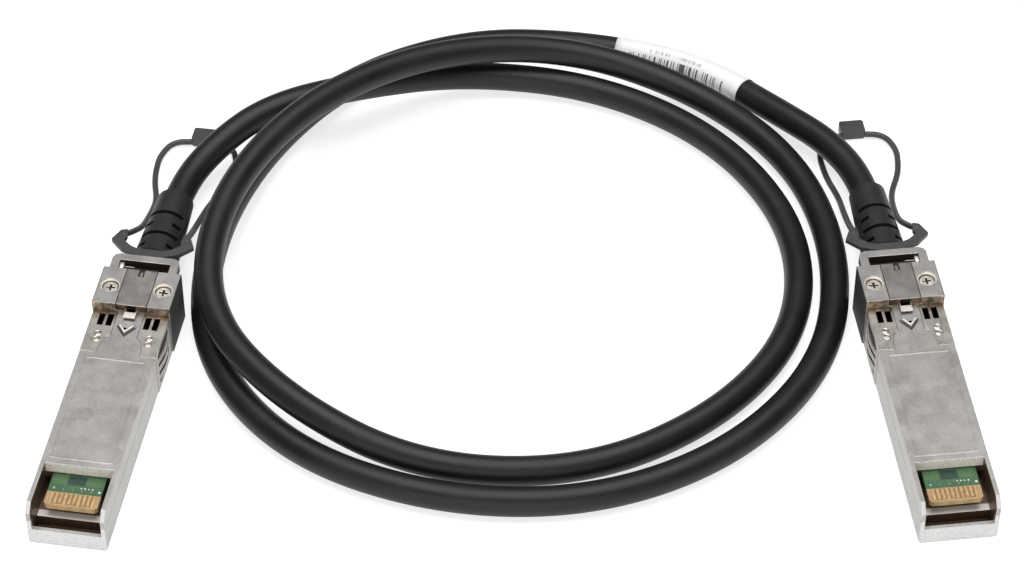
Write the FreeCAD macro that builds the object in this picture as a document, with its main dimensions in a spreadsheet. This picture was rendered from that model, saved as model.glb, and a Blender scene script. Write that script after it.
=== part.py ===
"""Direct attach copper cable: two pluggable ends joined by one twinaxial cable lying in loops.

Each plug is built in its own frame: Y runs from the nose to the cable, X across, Z up from the
underside. The same function builds both, and each plug then gets its place on the table.
"""

import math
import os

import FreeCAD
import Part
import Sketcher

doc = FreeCAD.newDocument("DirectAttachCable")
sheet = doc.addObject("Spreadsheet::Sheet", "Sizes")


class Size:
    """A number together with the spreadsheet expression that it comes from."""

    def __init__(self, text, value):
        self.text = text
        self.value = value

    def __add__(self, other):
        other = as_size(other)
        return Size(f"({self.text} + {other.text})", self.value + other.value)

    def __radd__(self, other):
        return as_size(other) + self

    def __sub__(self, other):
        other = as_size(other)
        return Size(f"({self.text} - {other.text})", self.value - other.value)

    def __rsub__(self, other):
        return as_size(other) - self

    def __mul__(self, other):
        other = as_size(other)
        return Size(f"({self.text} * {other.text})", self.value * other.value)

    def __rmul__(self, other):
        return as_size(other) * self

    def __truediv__(self, other):
        other = as_size(other)
        return Size(f"({self.text} / {other.text})", self.value / other.value)

    def __neg__(self):
        return 0 - self


def as_size(number):
    """A plain number as a Size; a Size stays as it is."""
    if isinstance(number, Size):
        return number
    return Size(f"({number!r})" if number < 0 else repr(number), float(number))


next_row = 1


def size(alias, number, note):
    """One row of the spreadsheet: the note, and the value under its alias."""
    global next_row
    sheet.set(f"A{next_row}", note)
    sheet.set(f"B{next_row}", repr(number))
    sheet.setAlias(f"B{next_row}", alias)
    next_row += 1
    return Size(f"Sizes.{alias}", float(number))


# Plug housing
body_width = size("body_width", 13.4, "housing width that enters the cage")
body_height = size("body_height", 8.5, "housing height at the nose")
board_depth = size("board_depth", 2.25, "latch side of the housing to the board")
board_thickness = size("board_thickness", 1.0, "board thickness")
head_start = size("head_start", 47.5, "nose to the shoulder that stops at the cage")
head_width = size("head_width", 14.0, "width of the head outside the cage")
head_length = size("head_length", 9.0, "length of the head")
head_rise = size("head_rise", 1.8, "how far the head stands above the housing")
skirt_wall = size("skirt_wall", 0.75, "wall beside the card mouth")
cover_start = size("cover_start", 10.4, "nose to the edge of the cover plate")
floor_wall = size("floor_wall", 1.1, "floor of the lower shell")
lip_height = size("lip_height", 3.2, "height of the front lip")
lip_depth = size("lip_depth", 0.8, "front lip, front to back")
step_lead = size("step_lead", 0.05, "how far the step stands in front of the board")
step_height = size("step_height", 3.25, "height of the step under the board")
mouth_depth = size("mouth_depth", 12.0, "nose to the back of the card mouth")
nose_chamfer = size("nose_chamfer", 1.5, "chamfer on the top front corners of the side walls")
corner_chamfer = size("corner_chamfer", 0.35, "chamfer along the lower edges")
cavity_half = size("cavity_half", 3.9, "half width of the hollow above and below the board")
roof_wall = size("roof_wall", 0.8, "roof over the hollow above the board")
seam_groove = size("seam_groove", 0.15, "groove along the seam")
rim_inset = size("rim_inset", 1.3, "edge of the cover to its raised frame")
rim_width = size("rim_width", 0.3, "width of the raised frame on the cover")
rim_height = size("rim_height", 0.12, "height of the raised frame on the cover")

# Shielding collar
collar_start = size("collar_start", 37.2, "nose to the front of the collar")
collar_sheet = size("collar_sheet", 0.25, "sheet thickness of the collar")
collar_proud = size("collar_proud", 0.05, "collar side outside the housing side")
ear_inner = size("ear_inner", 3.95, "half width of the front cut-out at its mouth")
cutout_depth = size("cutout_depth", 4.2, "depth of the rounded part of the front cut-out")
cutout_half = size("cutout_half", 2.4, "half width of the cut-out from there to the head")
cutout_gap = size("cutout_gap", 0.08, "gap between the collar and the housing in the cut-out")
window_width = size("window_width", 1.05, "width of each dark window")
window_length = size("window_length", 3.0, "length of each dark window")
window_start = size("window_start", 43.8, "nose to the dark windows")
window_inner = size("window_inner", 3.35, "centre line of the inner window")
window_outer = size("window_outer", 4.9, "centre line of the outer window")
clip_place = size("clip_place", 4.6, "centre line of the clip holes")
clip_start = size("clip_start", 40.3, "nose to the first clip hole")
clip_pitch = size("clip_pitch", 1.4, "pitch of the clip holes")
clip_radius = size("clip_radius", 0.42, "radius of the round clip holes")
finger_bulge = size("finger_bulge", 0.45, "how far a side finger stands out")
finger_width = size("finger_width", 1.2, "width of a side finger")
finger_gap = size("finger_gap", 0.7, "gap between side fingers")
finger_start = size("finger_start", 38.6, "nose to the root of the fingers")
finger_length = size("finger_length", 7.2, "length of the fingers")

# Latch boss and release slide
boss_shoulder = size("boss_shoulder", 45.0, "nose to the latch boss shoulder")
boss_half = size("boss_half", 1.4, "half width of the latch boss")
boss_length = size("boss_length", 3.1, "length of the latch boss with its rails")
vee_length = size("vee_length", 1.9, "length of the V of the latch boss")
boss_height = size("boss_height", 0.6, "height of the V above the housing")
rail_height = size("rail_height", 0.25, "height of the rails behind the V")
boss_wall = size("boss_wall", 0.38, "wall of the V and its rails")
boss_pit = size("boss_pit", 0.45, "depth of the pit inside the V")
slide_width = size("slide_width", 5.4, "width of the release slide")
slide_sheet = size("slide_sheet", 0.8, "thickness of the release slide")
slide_gap = size("slide_gap", 0.15, "running gap round the release slide")
slide_travel = size("slide_travel", 1.9, "travel of the release slide")
slide_wall = size("slide_wall", 0.6, "front wall of the slide")
slide_seat = size("slide_seat", 0.1, "gap under the slide's front wall")
tongue_half = size("tongue_half", 1.05, "half width of the slide's front tongue")
tongue_length = size("tongue_length", 1.9, "length of the slide's front tongue")
notch_width = size("notch_width", 1.06, "notch at the back edge of the slide")
notch_length = size("notch_length", 1.7, "length of that notch")
slide_lip = size("slide_lip", 0.5, "thickness of the slide's rear lip")
channel_rise = size("channel_rise", 0.3, "floor of the slide's channel above the housing")

# Rear frame on the head
frame_width = size("frame_width", 12.1, "width of the rear frame")
frame_spare = size("frame_spare", 0.25, "room in the frame's slot beyond the slide's travel")
frame_bar = size("frame_bar", 1.55, "rear bar of the frame")
frame_arm = size("frame_arm", 1.5, "side arms of the frame")
frame_height = size("frame_height", 1.6, "height of the rear frame")
frame_corner = size("frame_corner", 1.2, "outer corner of the frame")

# Cover screws
screw_place = size("screw_place", 4.75, "centre line of a cover screw")
screw_from_head = size("screw_from_head", 4.5, "shoulder to the screws")
bore_radius = size("bore_radius", 1.5, "counterbore radius")
bore_depth = size("bore_depth", 1.4, "depth of the counterbore")
bore_rim = size("bore_rim", 0.25, "width and depth of the step round the counterbore")
screw_head_radius = size("screw_head_radius", 1.27, "screw head radius")
screw_head_height = size("screw_head_height", 0.85, "screw head height")
screw_radius = size("screw_radius", 0.8, "screw shank radius")
screw_clearance = size("screw_clearance", 0.05, "gap round the screw shank")
screw_end = size("screw_end", 2.0, "height of the screw's lower end")

# Circuit board
board_width = size("board_width", 9.2, "board width")
board_start = size("board_start", 3.2, "nose to the board edge")
board_end = size("board_end", 41.0, "nose to the board's inner end")
board_gap = size("board_gap", 0.1, "gap beside the board")
contact_width = size("contact_width", 0.52, "width of a contact")
contact_pitch = size("contact_pitch", 0.8, "pitch of the contacts")
contact_length = size("contact_length", 2.7, "length of a contact")
contact_step = size("contact_step", 0.4, "setback of the late contacts")
contact_height = size("contact_height", 0.05, "thickness of the plating")
chip_side = size("chip_side", 3.0, "side of the memory chip")
chip_height = size("chip_height", 0.8, "height of the memory chip")

# Cable, its crimp and its strain relief
head_floor = size("head_floor", 1.05, "floor of the head under the flange")
flange_roof = size("flange_roof", 0.25, "wall between the flange and the slide's channel")
cable_diameter = size("cable_diameter", 5.2, "outer diameter of the cable")
wire_diameter = size("wire_diameter", 0.9, "diameter of an inner wire")
wire_gap = size("wire_gap", 0.2, "gap between the two wires of a pair")
ferrule_step = size("ferrule_step", 0.6, "flange radius less the crimp ferrule's")
ferrule_wall = size("ferrule_wall", 0.45, "wall of the crimp ferrule")
ferrule_start = size("ferrule_start", 46.5, "nose to the crimp ferrule")
ferrule_gap = size("ferrule_gap", 0.1, "gap round the ferrule")
flange_start = size("flange_start", 53.6, "nose to the strain relief's flange")
flange_length = size("flange_length", 1.2, "thickness of that flange")
neck_step = size("neck_step", 0.8, "flange radius less the neck's")
seat_gap = size("seat_gap", 0.05, "gap round the strain relief in the head")
boot_start = size("boot_start", 63.4, "nose to the base of the strain relief")
boot_end = size("boot_end", 81.0, "nose to the end of the strain relief")
boot_lift = size("boot_lift", 0.7, "gap between the strain relief and the table")
boot_tip_wall = size("boot_tip_wall", 0.75, "wall round the cable at the end of the strain relief")
boot_bore_start = size("boot_bore_start", 74.0, "nose to where the cable starts")
slot_width = size("slot_width", 0.95, "width of a flex slot")
slot_depth = size("slot_depth", 0.8, "depth of a flex slot")
slot_first = size("slot_first", 65.0, "nose to the first flex slot")
slot_pitch = size("slot_pitch", 2.85, "pitch of the flex slots")
long_slot_angle = size("long_slot_angle", 120.0, "sweep of the upper and lower slots")
short_slot_angle = size("short_slot_angle", 34.0, "sweep of the short slots at the corners")

# Pull tab
tab_plate = size("tab_plate", 0.5, "thickness of the tab's tongue")
under_gap = size("under_gap", 0.2, "gap between the tab's tongue and the rear frame")
tab_tongue_half = size("tab_tongue_half", 2.2, "half width of the tab's tongue")
riser_depth = size("riser_depth", 0.7, "riser from the tongue to the strap, front to back")
strap_clear = size("strap_clear", 0.3, "gap between the strap and the strain relief")
strap_sheet = size("strap_sheet", 0.9, "thickness of the strap")
strap_width = size("strap_width", 1.6, "strap, front to back, on the centre line")
strap_half = size("strap_half", 2.4, "half width of the straight middle of the strap")
wing_elbow = size("wing_elbow", 5.25, "half width where the strap's front turns back to the wing tip")
wing_tip = size("wing_tip", 7.5, "half width over the pointed wings")
wing_sweep = size("wing_sweep", 3.4, "how far the wing tips lie behind the strap's front")
wing_root = size("wing_root", 2.3, "width of a wing at its tip")
wing_back = size("wing_back", 2.5, "wing tip to the wing's rear corner")
arm_radius = size("arm_radius", 0.56, "radius of the arms and the loop")
knuckle_radius = size("knuckle_radius", 0.64, "radius of the knuckle where an arm leaves its wing")
arm_splay = size("arm_splay", 1.1, "arm to strain relief, beside its base")
arm_clear = size("arm_clear", 0.55, "arm to strain relief, where the arm hugs it")
arm_first = size("arm_first", 5.2, "base of the strain relief to the arm's first bend")
arm_pitch = size("arm_pitch", 5.2, "from one bend of the arm to the next")
arm_over = size("arm_over", 2.8, "height of the first bend above the cable's axis")
arm_under = size("arm_under", 2.4, "drop of the third bend below the cable's axis")
loop_neck = size("loop_neck", 4.9, "half width of the loop where it meets the table")
loop_shoulder = size("loop_shoulder", 6.9, "half width of the loop a third of the way back")
loop_half = size("loop_half", 7.4, "half width of the loop at its widest")
loop_heel = size("loop_heel", 5.8, "half width of the loop at its rear corners")
loop_start = size("loop_start", 3.5, "end of the strain relief to the loop's neck")
loop_pitch = size("loop_pitch", 6.0, "from one corner of the loop to the next")
left_loop_lean = size("left_loop_lean", 0.3, "how far the left loop is bent across")
right_loop_lean = size("right_loop_lean", 1.7, "how far the right loop is bent across")
grip_half = size("grip_half", 2.3, "half width of the grip")
grip_length = size("grip_length", 3.4, "length of the grip")
grip_height = size("grip_height", 1.7, "height of the grip")
grip_round = size("grip_round", 0.5, "rounding of the grip's edges")
table_gap = size("table_gap", 0.35, "gap between the loop and the table")
label_sheet = size("label_sheet", 0.2, "thickness of the wrapped label")

doc.recompute()


# ---------------------------------------------------------------- builders


def bind(target, name, number):
    """Ties one property to the spreadsheet."""
    target.setExpression(name, as_size(number).text)


def new_body(name):
    """An empty body with its own origin planes."""
    body = doc.addObject("PartDesign::Body", name)
    body.AllowCompound = True
    return body


def origin_item(body, role):
    """The plane or axis of a body's origin that has this role."""
    for item in body.Origin.OriginFeatures:
        if item.Role == role:
            return item
    raise ValueError(role)


def fix_point(sketch, edge, end, point, number):
    """Ties one end of an edge to the two distances from the sketch origin."""
    for kind, value in (("DistanceX", point[0]), ("DistanceY", point[1])):
        value = as_size(value)
        index = sketch.addConstraint(Sketcher.Constraint(kind, -1, 1, edge, end, value.value))
        name = f"{kind[-1].lower()}{number}"
        sketch.renameConstraint(index, name)
        sketch.setExpression(f"Constraints.{name}", value.text)


def sketch_on(body, plane, level, outlines):
    """A sketch at a level along the plane's normal; an outline is a polygon or a circle."""
    sketch = body.newObject("Sketcher::SketchObject", f"{body.Name}_sketch")
    sketch.AttachmentSupport = [(origin_item(body, plane), "")]
    sketch.MapMode = "FlatFace"
    bind(sketch, "AttachmentOffset.Base.z", level)
    count = 0
    for outline in outlines:
        if outline[0] == "circle":
            centre, radius = outline[1], as_size(outline[2])
            middle = FreeCAD.Vector(as_size(centre[0]).value, as_size(centre[1]).value, 0)
            normal = FreeCAD.Vector(0, 0, 1)
            edge = sketch.addGeometry(Part.Circle(middle, normal, radius.value))
            fix_point(sketch, edge, 3, centre, count)
            index = sketch.addConstraint(Sketcher.Constraint("Radius", edge, radius.value))
            sketch.renameConstraint(index, f"r{count}")
            sketch.setExpression(f"Constraints.r{count}", radius.text)
            count += 1
            continue
        ends = [FreeCAD.Vector(as_size(x).value, as_size(y).value, 0) for x, y in outline]
        edges = []
        for start, end in zip(ends, ends[1:] + ends[:1]):
            edges.append(sketch.addGeometry(Part.LineSegment(start, end)))
        for one, other in zip(edges, edges[1:] + edges[:1]):
            sketch.addConstraint(Sketcher.Constraint("Coincident", one, 2, other, 1))
        for edge, point in zip(edges, outline):
            fix_point(sketch, edge, 1, point, count)
            count += 1
    return sketch


def checked(body, feature, sign):
    """Recomputes, and stops if a pad took nothing on or a pocket took nothing off."""
    before = body.Shape.Volume if body.Shape and not body.Shape.isNull() else 0.0
    body.Tip = feature
    doc.recompute()
    after = body.Shape.Volume
    if (after - before) * sign <= 1e-6:
        raise ValueError(f"{feature.Name}: volume went from {before:.4f} to {after:.4f}")
    return feature


def pad(body, plane, low, high, outlines):
    """Material between two levels."""
    level, back = (low, False) if plane != "XZ_Plane" else (-as_size(low), True)
    sketch = sketch_on(body, plane, level, outlines)
    feature = body.newObject("PartDesign::Pad", f"{body.Name}_pad")
    feature.Profile = sketch
    feature.Reversed = back
    bind(feature, "Length", as_size(high) - low)
    return checked(body, feature, 1)


def pocket(body, plane, low, high, outlines):
    """Material taken away between two levels."""
    level, back = (low, True) if plane != "XZ_Plane" else (-as_size(low), False)
    sketch = sketch_on(body, plane, level, outlines)
    feature = body.newObject("PartDesign::Pocket", f"{body.Name}_pocket")
    feature.Profile = sketch
    feature.Reversed = back
    bind(feature, "Length", as_size(high) - low)
    return checked(body, feature, -1)


def rectangle(x_low, x_high, y_low, y_high):
    """A four-sided outline."""
    return [(x_low, y_low), (x_high, y_low), (x_high, y_high), (x_low, y_high)]


def mirrored(x_low, x_high, y_low, y_high):
    """The same rectangle on both sides of the centre line."""
    left = rectangle(-as_size(x_high), -as_size(x_low), y_low, y_high)
    return [left, rectangle(x_low, x_high, y_low, y_high)]


def box(name, x, y, z):
    """A box between pairs of levels."""
    item = doc.addObject("Part::Box", name)
    for side, place, pair in (("Length", "x", x), ("Width", "y", y), ("Height", "z", z)):
        bind(item, side, as_size(pair[1]) - pair[0])
        bind(item, f"Placement.Base.{place}", pair[0])
    return item


def cylinder(name, radius, x, y, z, length, axis="z"):
    """A cylinder from a point along Z or Y."""
    item = doc.addObject("Part::Cylinder", name)
    if axis == "y":
        turn = FreeCAD.Rotation(FreeCAD.Vector(1, 0, 0), -90)
        item.Placement = FreeCAD.Placement(FreeCAD.Vector(), turn)
    bind(item, "Radius", radius)
    bind(item, "Height", length)
    for place, value in (("x", x), ("y", y), ("z", z)):
        bind(item, f"Placement.Base.{place}", value)
    return item


def union(name, items):
    """One solid from several."""
    item = doc.addObject("Part::MultiFuse", name)
    item.Shapes = items
    return item


def difference(name, base, tool):
    """The base less the tool."""
    item = doc.addObject("Part::Cut", name)
    item.Base = base
    item.Tool = tool
    return item


def group(name, items):
    """Separate solids that go by one name."""
    item = doc.addObject("Part::Compound", name)
    item.Links = items
    return item


def rounded_path(points, share=0.45):
    """Straight runs joined by tangent arcs, with the radius of each arc."""
    vectors = [FreeCAD.Vector(*point) for point in points]
    edges, radii = [], []
    last = vectors[0]
    for before, corner, after in zip(vectors, vectors[1:], vectors[2:]):
        into = corner - before
        out = after - corner
        reach = share * min(into.Length, out.Length)
        half = into.getAngle(out) / 2
        radius = reach / math.tan(half)
        into.normalize()
        out.normalize()
        start = corner - into * reach
        end = corner + out * reach
        inward = out - into
        inward.normalize()
        centre = corner + inward * (radius / math.cos(half))
        middle = centre - inward * radius
        edges.append(Part.LineSegment(last, start).toShape())
        edges.append(Part.Arc(start, middle, end).toShape())
        radii.append(radius)
        last = end
    edges.append(Part.LineSegment(last, vectors[-1]).toShape())
    return edges, radii


def swept(edges, radius):
    """A round bar along a path."""
    wire = Part.Wire(edges)
    start = edges[0].valueAt(edges[0].FirstParameter)
    along = edges[0].tangentAt(edges[0].FirstParameter)
    section = Part.Wire([Part.Circle(start, along, radius).toShape()])
    shape = wire.makePipeShell([section], True, False)
    expected = math.pi * radius * radius * wire.Length
    if abs(shape.Volume - expected) > 0.01 * expected:
        raise ValueError(f"bar volume {shape.Volume:.2f}, expected {expected:.2f}")
    return shape


def hold(name, shape):
    """A document object for a shape that no other operation makes."""
    item = doc.addObject("Part::Feature", name)
    item.Shape = shape
    return item


# ---------------------------------------------------------------- plug

half = body_width / 2
neck_half = half + collar_proud - collar_sheet
head_half = head_width / 2
head_end = head_start + head_length
head_height = body_height + head_rise
mouth_half = half - skirt_wall
board_top = body_height - board_depth
seam_height = board_top - board_thickness
channel_end = board_start - step_lead
cavity_top = body_height - roof_wall
frame_half = frame_width / 2
frame_end = head_end + slide_travel + frame_spare + frame_bar
frame_low = head_height - frame_height
slot_half = frame_half - frame_arm
channel_half = slide_width / 2 + slide_gap
channel_floor = body_height + channel_rise
slide_low = channel_floor + slide_seat
tab_plate_low = frame_low - under_gap - tab_plate
bore_floor = head_height - bore_depth
axis_height = (head_floor + channel_floor - flange_roof) / 2
flange_radius = axis_height - head_floor - seat_gap
neck_radius = flange_radius - neck_step
ferrule_radius = flange_radius - ferrule_step
boot_radius = axis_height - boot_lift
boot_tip_radius = cable_diameter / 2 + boot_tip_wall
screw_y = head_start + screw_from_head
pocket_end = flange_start + flange_length + seat_gap
slide_under = head_height - slide_sheet
collar_inside = body_height - collar_sheet


def housing_outline():
    """The plan outline that both shells share."""
    right = [
        (half, 0.0),
        (half, collar_start),
        (neck_half, collar_start),
        (neck_half, head_start),
        (head_half, head_start),
        (head_half, head_end),
    ]
    left = [(-x, y) for x, y in reversed(right)]
    return right + left


def cut_rear_bores(body):
    """Room for the ferrule, the flange and the neck in one half of the head."""
    centre = (0.0, axis_height)
    start = ferrule_start - ferrule_gap
    flange = flange_radius + seat_gap
    pocket(body, "XZ_Plane", start, flange_start, [("circle", centre, ferrule_radius + ferrule_gap)])
    pocket(body, "XZ_Plane", flange_start, pocket_end, [("circle", centre, flange)])
    pocket(body, "XZ_Plane", pocket_end, head_end, [("circle", centre, neck_radius + seat_gap)])


def arch(margin):
    """The collar's front cut-out: a rounded mouth that narrows to a straight gap up to the head."""
    right = [(ear_inner - margin, collar_start)]
    for share in (0.25, 0.5, 0.75, 1.0):
        turn = share * math.pi / 2
        x = cutout_half + (ear_inner - cutout_half) * math.cos(turn) - margin
        right.append((x, collar_start + cutout_depth * math.sin(turn)))
    right.append((cutout_half - margin, head_start - collar_proud))
    return right + [(-x, y) for x, y in reversed(right)]


def build_bottom_shell(name):
    """The lower tub: floor, front lip and step, side walls and the lower half of the head."""
    body = new_body(name)
    pad(body, "XY_Plane", 0.0, seam_height, [housing_outline()])
    pocket(body, "XY_Plane", step_height, seam_height, [rectangle(-mouth_half, mouth_half, 0.0, mouth_depth)])
    pocket(body, "XY_Plane", lip_height, step_height, [rectangle(-mouth_half, mouth_half, 0.0, lip_depth)])
    pocket(
        body,
        "XY_Plane",
        floor_wall,
        step_height,
        [rectangle(-mouth_half, mouth_half, lip_depth, channel_end)],
    )
    hollow = rectangle(-cavity_half, cavity_half, mouth_depth, ferrule_start)
    pocket(body, "XY_Plane", floor_wall, seam_height, [hollow])
    pocket(body, "XY_Plane", 0.0, collar_sheet, [rectangle(-half, half, collar_start, head_start)])
    cut_rear_bores(body)
    holes = [("circle", (side * screw_place, screw_y), screw_radius + screw_clearance) for side in (-1, 1)]
    pocket(body, "XY_Plane", screw_end, seam_height, holes)
    edge = [
        [(-half, 0.0), (-half + corner_chamfer, 0.0), (-half, corner_chamfer)],
        [(half, 0.0), (half, corner_chamfer), (half - corner_chamfer, 0.0)],
    ]
    pocket(body, "XZ_Plane", 0.0, collar_start, edge)
    groove = mirrored(half - seam_groove, half, 0.0, collar_start)
    pocket(body, "XY_Plane", seam_height - seam_groove, seam_height, groove)
    return body


def build_top_shell(name):
    """The cover: side walls of the mouth, raised frame, collar seat, screw blocks and rear frame."""
    body = new_body(name)
    pad(body, "XY_Plane", seam_height, body_height, [housing_outline()])
    lift = rectangle(-head_half, head_half, head_start, head_end)
    pad(body, "XY_Plane", body_height, head_height, [lift])
    mouth = rectangle(-mouth_half, mouth_half, 0.0, cover_start)
    pocket(body, "XY_Plane", seam_height, body_height, [mouth])
    corner = [
        (0.0, body_height - nose_chamfer),
        (nose_chamfer, body_height),
        (0.0, body_height),
    ]
    pocket(body, "YZ_Plane", -half, half, [corner])
    slot = board_width / 2 + board_gap
    pocket(body, "XY_Plane", seam_height, board_top, [rectangle(-slot, slot, cover_start, board_end)])
    hollow = rectangle(-cavity_half, cavity_half, mouth_depth, ferrule_start)
    pocket(body, "XY_Plane", seam_height, cavity_top, [hollow])
    pocket(
        body,
        "XY_Plane",
        collar_inside,
        body_height,
        [rectangle(-half, half, collar_start, head_start)],
    )
    outer = rectangle(-half + rim_inset, half - rim_inset, cover_start + rim_inset, collar_start - rim_inset)
    inset = rim_inset + rim_width
    inner = rectangle(-half + inset, half - inset, cover_start + inset, collar_start - inset)
    pad(body, "XY_Plane", body_height, body_height + rim_height, [outer, inner])
    pad(body, "XY_Plane", collar_inside, body_height, [arch(cutout_gap)])
    # latch boss: an open V that points at the nose, with low rails back to the latch shoulder
    apex = boss_shoulder - boss_length
    vee_end = apex + vee_length
    slant = math.hypot(boss_half.value, vee_length.value)
    low = boss_half - boss_wall * (slant / vee_length.value)
    point = apex + boss_wall * (slant / boss_half.value)
    vee = [(-boss_half, vee_end), (0.0, apex), (boss_half, vee_end), (low, vee_end), (0.0, point), (-low, vee_end)]
    pad(body, "XY_Plane", body_height, body_height + boss_height, [vee])
    rails = mirrored(boss_half - boss_wall, boss_half, vee_end, boss_shoulder)
    pad(body, "XY_Plane", body_height, body_height + rail_height, rails)
    pit = [(-low, vee_end), (0.0, point), (low, vee_end)]
    pocket(body, "XY_Plane", body_height - boss_pit, body_height, [pit])
    # dark wells under the collar's windows
    wells = []
    for centre in (window_inner, window_outer):
        wells += mirrored(
            centre - window_width / 2,
            centre + window_width / 2,
            window_start,
            window_start + window_length,
        )
    pocket(body, "XY_Plane", board_top, collar_inside, wells)
    # channel for the slide, and the step down at its rear for the tab's tongue
    run = rectangle(-channel_half, channel_half, head_start, head_end)
    pocket(body, "XY_Plane", channel_floor, head_height, [run])
    rear = rectangle(-channel_half, channel_half, head_end - slide_lip * 2.4, head_end)
    pocket(body, "XY_Plane", tab_plate_low - slide_gap * 2, channel_floor, [rear])
    # rear frame
    corner = frame_corner
    ring = [
        (-frame_half, head_end),
        (frame_half, head_end),
        (frame_half, frame_end - corner),
        (frame_half - corner * 0.3, frame_end - corner * 0.3),
        (frame_half - corner, frame_end),
        (-frame_half + corner, frame_end),
        (-frame_half + corner * 0.3, frame_end - corner * 0.3),
        (-frame_half, frame_end - corner),
    ]
    opening = rectangle(-slot_half, slot_half, head_end, frame_end - frame_bar)
    pad(body, "XY_Plane", frame_low, head_height, [ring])
    pocket(body, "XY_Plane", frame_low, head_height, [opening])
    cut_rear_bores(body)
    # stepped counterbores and the screw holes
    for radius, depth in ((bore_radius + bore_rim, bore_rim), (bore_radius, bore_depth)):
        sinks = [("circle", (side * screw_place, screw_y), radius) for side in (-1, 1)]
        pocket(body, "XY_Plane", head_height - depth, head_height, sinks)
    holes = [("circle", (side * screw_place, screw_y), screw_radius + screw_clearance) for side in (-1, 1)]
    pocket(body, "XY_Plane", seam_height, bore_floor, holes)
    return body


def build_collar(name):
    """The sheet collar: a sleeve with windows, clip holes, a front cut-out and side fingers."""
    body = new_body(name)
    outside = half + collar_proud
    ring = [
        rectangle(-outside, outside, 0.0, body_height),
        rectangle(-neck_half, neck_half, collar_sheet, collar_inside),
    ]
    pad(body, "XZ_Plane", collar_start, head_start - collar_proud, ring)
    pocket(body, "XY_Plane", collar_inside, body_height, [arch(0.0)])
    windows = []
    for centre in (window_inner, window_outer):
        windows += mirrored(
            centre - window_width / 2,
            centre + window_width / 2,
            window_start,
            window_start + window_length,
        )
    pocket(body, "XY_Plane", collar_inside, body_height, windows)
    holes = []
    for side in (-1, 1):
        for step in (0, 1):
            spot = (side * clip_place, clip_start + step * clip_pitch)
            holes.append(("circle", spot, clip_radius))
    pocket(body, "XY_Plane", collar_inside, body_height, holes)
    # three bowed fingers on each side, with open gaps between them
    pitch = finger_width + finger_gap
    middle = body_height / 2
    gaps = []
    for step in (-1.5, -0.5, 0.5, 1.5):
        low = middle + step * pitch - finger_gap / 2
        gaps.append(rectangle(finger_start, finger_start + finger_length, low, low + finger_gap))
    pocket(body, "YZ_Plane", -outside, -neck_half, gaps)
    pocket(body, "YZ_Plane", neck_half, outside, gaps)
    end = finger_start + finger_length
    bow = finger_start + finger_length / 2
    for step in (-1, 0, 1):
        low = middle + step * pitch - finger_width / 2
        bows = []
        for side in (-1, 1):
            bows.append(
                [
                    (side * neck_half, finger_start),
                    (side * outside, finger_start),
                    (side * (outside + finger_bulge), bow - finger_length / 8),
                    (side * (outside + finger_bulge), bow + finger_length / 8),
                    (side * outside, end),
                    (side * neck_half, end),
                ]
            )
        pad(body, "XY_Plane", low, low + finger_width, bows)
    return body


def build_slide(name):
    """The release slide: a plate with a front wall and tongue, and a rear lip for the tab."""
    body = new_body(name)
    wide = slide_width / 2
    plate = [
        (-wide, head_start),
        (wide, head_start),
        (wide, head_end),
        (notch_width / 2, head_end),
        (notch_width / 2, head_end - notch_length),
        (-notch_width / 2, head_end - notch_length),
        (-notch_width / 2, head_end),
        (-wide, head_end),
    ]
    pad(body, "XY_Plane", slide_under, head_height, [plate])
    wall = rectangle(-wide, wide, head_start, head_start + slide_wall)
    pad(body, "XY_Plane", slide_low, slide_under, [wall])
    tongue = rectangle(-tongue_half, tongue_half, head_start - tongue_length, head_start)
    pad(body, "XY_Plane", slide_low, slide_low + slide_wall / 2, [tongue])
    slit = rectangle(-tongue_half, tongue_half, slide_low + slide_wall * 0.8, slide_under + slide_sheet / 3)
    pocket(body, "XZ_Plane", head_start, head_start + slide_wall, [slit])
    lips = mirrored(notch_width / 2, tongue_half * 1.5, head_end - slide_lip, head_end)
    pad(body, "XY_Plane", tab_plate_low, slide_under, lips)
    finger = rectangle(-notch_width / 4, notch_width / 4, head_end - notch_length, head_end - slide_lip)
    pad(body, "XY_Plane", slide_under, head_height - slide_gap, [finger])
    return body


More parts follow.
